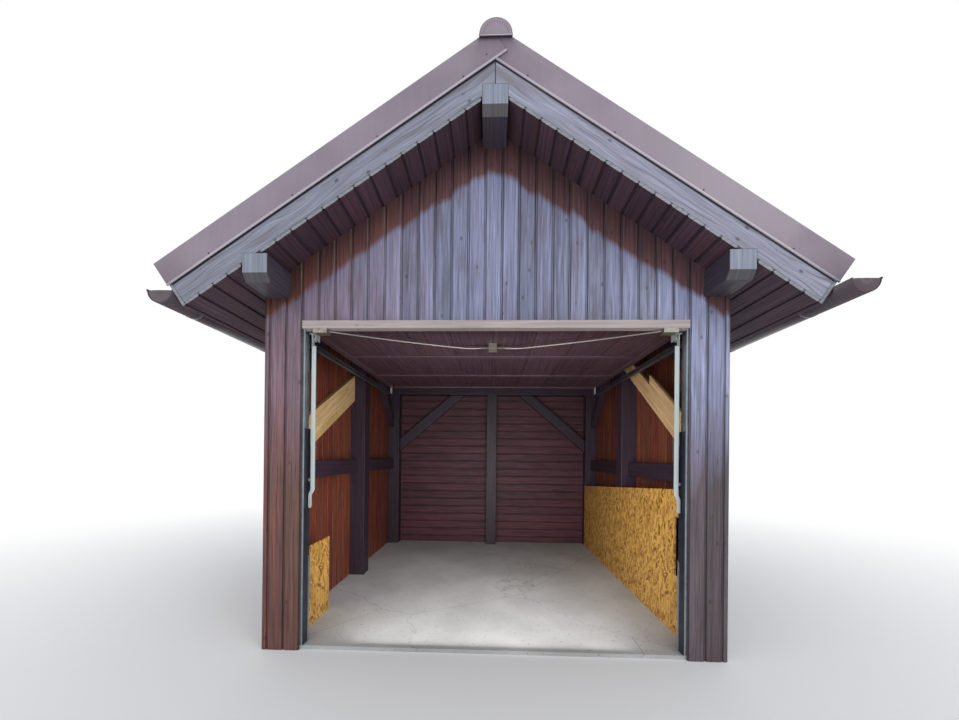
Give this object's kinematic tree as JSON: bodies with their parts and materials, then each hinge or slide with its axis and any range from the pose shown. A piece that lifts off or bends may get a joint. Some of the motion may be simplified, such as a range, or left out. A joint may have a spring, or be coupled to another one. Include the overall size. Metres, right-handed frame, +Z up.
{
  "type": "timber garage-type store with an up-and-over door",
  "caption": "Timber store with a steep gable roof and a wide doorway whose up-and-over door stands open overhead.",
  "frame": {"origin": "ground level under the middle of the plan, which is also the middle of the roof", "axes": "+X right seen from the doorway side, +Y from the doorway to the back wall, +Z up"},
  "size_m": [4.1168, 3.7, 3.7937],
  "materials": {
    "concrete": "trowelled concrete, dusty",
    "frame_timber": "dark stained sawn spruce",
    "weathered_timber": "weathered silver-grey spruce",
    "stained_boards": "red-brown stained tongue and groove boards",
    "roof_metal": "mauve-brown coated steel sheet",
    "gutter_metal": "brown coated steel gutter",
    "strand_board": "oriented strand board",
    "new_timber": "new planed spruce",
    "galvanised_steel": "galvanised steel",
    "black_plastic": "moulded black plastic",
    "leaf_timber": "dark stained boards and ribs",
    "pale_timber": "pale weathered timber rail",
    "white_cord": "braided white cord",
    "white_steel": "white powder-coated steel"
  },
  "bodies": {
    "frame": {"floor_slab": "concrete", "side_posts": "frame_timber", "door_studs": "frame_timber", "lintel": "frame_timber", "back_tie": "frame_timber", "back_centre_post": "frame_timber", "mid_rails": "frame_timber", "knee_braces": "frame_timber", "purlins": "weathered_timber", "barge_rafters_front": "weathered_timber", "barge_rafters_back": "weathered_timber", "inner_rafters": "frame_timber", "battens": "frame_timber", "front_cladding_left": "stained_boards", "front_cladding_right": "stained_boards", "front_gable": "stained_boards", "back_gable": "stained_boards", "back_wall": "stained_boards", "side_wall_left": "stained_boards", "side_wall_right": "stained_boards", "soffit_boards_left": "stained_boards", "soffit_boards_right": "stained_boards", "fascias": "stained_boards", "roof_sheet_left": "roof_metal", "roof_sheet_right": "roof_metal", "ridge_cap": "roof_metal", "verge_front_left": "roof_metal", "verge_front_right": "roof_metal", "verge_back_left": "roof_metal", "verge_back_right": "roof_metal", "gutter_left": "gutter_metal", "gutter_right": "gutter_metal", "osb_linings": "strand_board", "new_struts": "new_timber", "door_jambs": "galvanised_steel", "spring_straps": "galvanised_steel", "spring_covers": "black_plastic", "tracks": "galvanised_steel"},
    "carriage": {"rollers": "black_plastic"},
    "leaf": {"leaf_skins": "leaf_timber", "leaf_stiles": "leaf_timber", "leaf_ribs": "leaf_timber", "leaf_bottom_rail": "pale_timber", "leaf_lock": "black_plastic", "release_cords": "white_cord", "leaf_brackets": "white_steel"},
    "arms": {"arm_left": "white_steel", "arm_right": "white_steel"}
  },
  "joints": [
    {"name": "roller_slide", "type": "slide", "parent": "frame", "child": "carriage", "axis": [0, -1, 0], "range_m": [0, 1.838]},
    {"name": "leaf_hinge", "type": "hinge", "parent": "carriage", "child": "leaf", "pos_m": [0, 0.438, 2.03], "axis": [1, 0, 0], "range_deg": [0, 90]},
    {"name": "arm_hinge", "type": "hinge", "parent": "leaf", "child": "arms", "pos_m": [0, -1.43, 2.06], "axis": [1, 0, 0], "range_deg": [0, 90]}
  ],
  "couplings": [
    {"joint": "roller_slide", "follows": "leaf_hinge", "m_per_rad": 1.1701},
    {"joint": "arm_hinge", "follows": "leaf_hinge", "ratio": 1}
  ]
}
